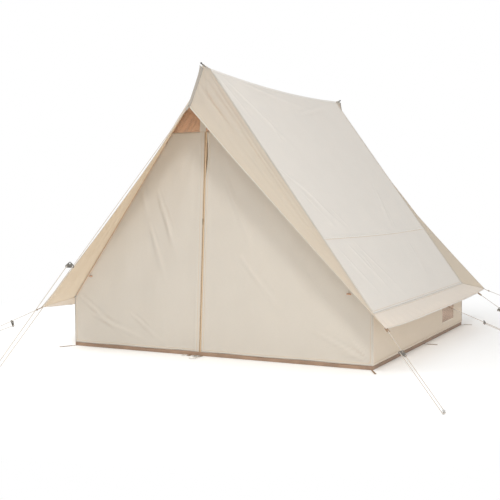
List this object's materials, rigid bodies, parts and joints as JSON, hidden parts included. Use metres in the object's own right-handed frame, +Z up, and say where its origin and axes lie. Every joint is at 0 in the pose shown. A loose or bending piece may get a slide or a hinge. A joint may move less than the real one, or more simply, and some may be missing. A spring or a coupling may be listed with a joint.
{
  "type": "glamping tent",
  "caption": "A-frame cotton tent pitched on two pole frames, with a low vertical wall, a zipped door, hoods over both end walls, and guylines with sliding tensioners.",
  "frame": {"origin": "on the ground, under the middle of the floor and of the roof", "axes": "+Z up; +Y from the door end to the rear; +X to the right of someone who faces the door"},
  "size_m": [3.8276, 5.4596, 2.0157],
  "materials": {
    "roof_canvas": "heavy unbleached cotton canvas, matt",
    "wall_canvas": "unbleached cotton canvas, matt",
    "vent_net": "fine dark brown insect net",
    "groundsheet": "coated brown groundsheet cloth",
    "pole_tube": "drawn aluminium tube",
    "hub_plastic": "moulded dark grey nylon",
    "webbing": "woven grey brown webbing",
    "zip_tape": "woven brown zip tape",
    "zip_metal": "dark bronze coated zinc",
    "toggle": "dark red brown turned wood",
    "guy_cord": "braided light cotton cord",
    "tensioner": "dark grey moulded plate",
    "peg_steel": "bright forged steel"
  },
  "bodies": {
    "shelter": {"front_apex_hub": "hub_plastic", "front_gable_net": "vent_net", "front_hood_left": "roof_canvas", "front_hood_right": "roof_canvas", "front_hood_webbing": "webbing", "front_left_pole_lower": "pole_tube", "front_left_pole_middle": "pole_tube", "front_left_pole_upper": "pole_tube", "front_right_pole_lower": "pole_tube", "front_right_pole_middle": "pole_tube", "front_right_pole_upper": "pole_tube", "front_wall_left": "wall_canvas", "front_wall_right": "wall_canvas", "groundsheet": "groundsheet", "guyline_front": "guy_cord", "guyline_front_left": "guy_cord", "guyline_front_right": "guy_cord", "guyline_middle_right": "guy_cord", "guyline_rear_right": "guy_cord", "guyline_side_rear_right": "guy_cord", "peg_front": "peg_steel", "peg_front_left": "peg_steel", "peg_front_right": "peg_steel", "peg_middle_right": "peg_steel", "peg_rear_right": "peg_steel", "peg_side_rear_right": "peg_steel", "rear_apex_hub": "hub_plastic", "rear_gable_net": "vent_net", "rear_hood_left": "roof_canvas", "rear_hood_right": "roof_canvas", "rear_hood_webbing": "webbing", "rear_left_pole_lower": "pole_tube", "rear_left_pole_middle": "pole_tube", "rear_left_pole_upper": "pole_tube", "rear_right_pole_lower": "pole_tube", "rear_right_pole_middle": "pole_tube", "rear_right_pole_upper": "pole_tube", "rear_wall": "wall_canvas", "roof_left": "roof_canvas", "roof_right": "roof_canvas", "side_vent_net_left": "vent_net", "side_vent_net_right": "vent_net", "side_wall_left": "wall_canvas", "side_wall_right": "wall_canvas", "tie_back_toggle_left": "toggle", "tie_back_toggle_right": "toggle", "valance_left": "roof_canvas", "valance_right": "roof_canvas"},
    "left_flap": {"door_left": "wall_canvas", "zip_tape_left": "zip_tape"},
    "right_flap": {"door_right": "wall_canvas", "zip_tape_right": "zip_tape"},
    "zip_slider_body": {"zip_slider": "zip_metal"},
    "zip_pull_body": {"zip_pull": "zip_metal"},
    "front_tensioner": {"slider_front": "tensioner"},
    "front_left_tensioner": {"slider_front_left": "tensioner"},
    "front_right_tensioner": {"slider_front_right": "tensioner"},
    "middle_right_tensioner": {"slider_middle_right": "tensioner"},
    "rear_right_tensioner": {"slider_rear_right": "tensioner"},
    "side_rear_right_tensioner": {"slider_side_rear_right": "tensioner"}
  },
  "joints": [
    {"name": "door_right_fold", "type": "hinge", "parent": "shelter", "child": "right_flap", "pos_m": [1.1614, -1.175, 0.027], "axis": [-0.6001, 0, 0.7999], "range_deg": [0, 80]},
    {"name": "door_left_fold", "type": "hinge", "parent": "shelter", "child": "left_flap", "pos_m": [-1.1614, -1.175, 0.027], "axis": [-0.5733, 0, -0.8193], "range_deg": [0, 80]},
    {"name": "zip_slide", "type": "slide", "parent": "left_flap", "child": "zip_slider_body", "axis": [0.038, 0, 0.9993], "range_m": [-0.89, 0.58]},
    {"name": "zip_pull_swing", "type": "hinge", "parent": "zip_slider_body", "child": "zip_pull_body", "pos_m": [-0.0619, -1.1784, 0.95], "axis": [-1, 0, 0], "range_deg": [0, 170]},
    {"name": "front_tensioner_slide", "type": "slide", "parent": "shelter", "child": "front_tensioner", "axis": [0.0033, -0.789, -0.6144], "range_m": [0, 0.25], "deforming": ["guyline_front"]},
    {"name": "front_left_tensioner_slide", "type": "slide", "parent": "shelter", "child": "front_left_tensioner", "axis": [-0.5499, -0.7531, -0.3613], "range_m": [0, 0.25], "deforming": ["guyline_front_left"]},
    {"name": "front_right_tensioner_slide", "type": "slide", "parent": "shelter", "child": "front_right_tensioner", "axis": [0.5628, -0.7747, -0.2882], "range_m": [0, 0.25], "deforming": ["guyline_front_right"]},
    {"name": "middle_right_tensioner_slide", "type": "slide", "parent": "shelter", "child": "middle_right_tensioner", "axis": [0.9333, 0.0128, -0.359], "range_m": [0, 0.25], "deforming": ["guyline_middle_right"]},
    {"name": "rear_right_tensioner_slide", "type": "slide", "parent": "shelter", "child": "rear_right_tensioner", "axis": [0.7545, 0.543, -0.3688], "range_m": [0, 0.25], "deforming": ["guyline_rear_right"]},
    {"name": "side_rear_right_tensioner_slide", "type": "slide", "parent": "shelter", "child": "side_rear_right_tensioner", "axis": [0.7052, -0.6364, -0.3126], "range_m": [0, 0.25], "deforming": ["guyline_side_rear_right"]}
  ]
}
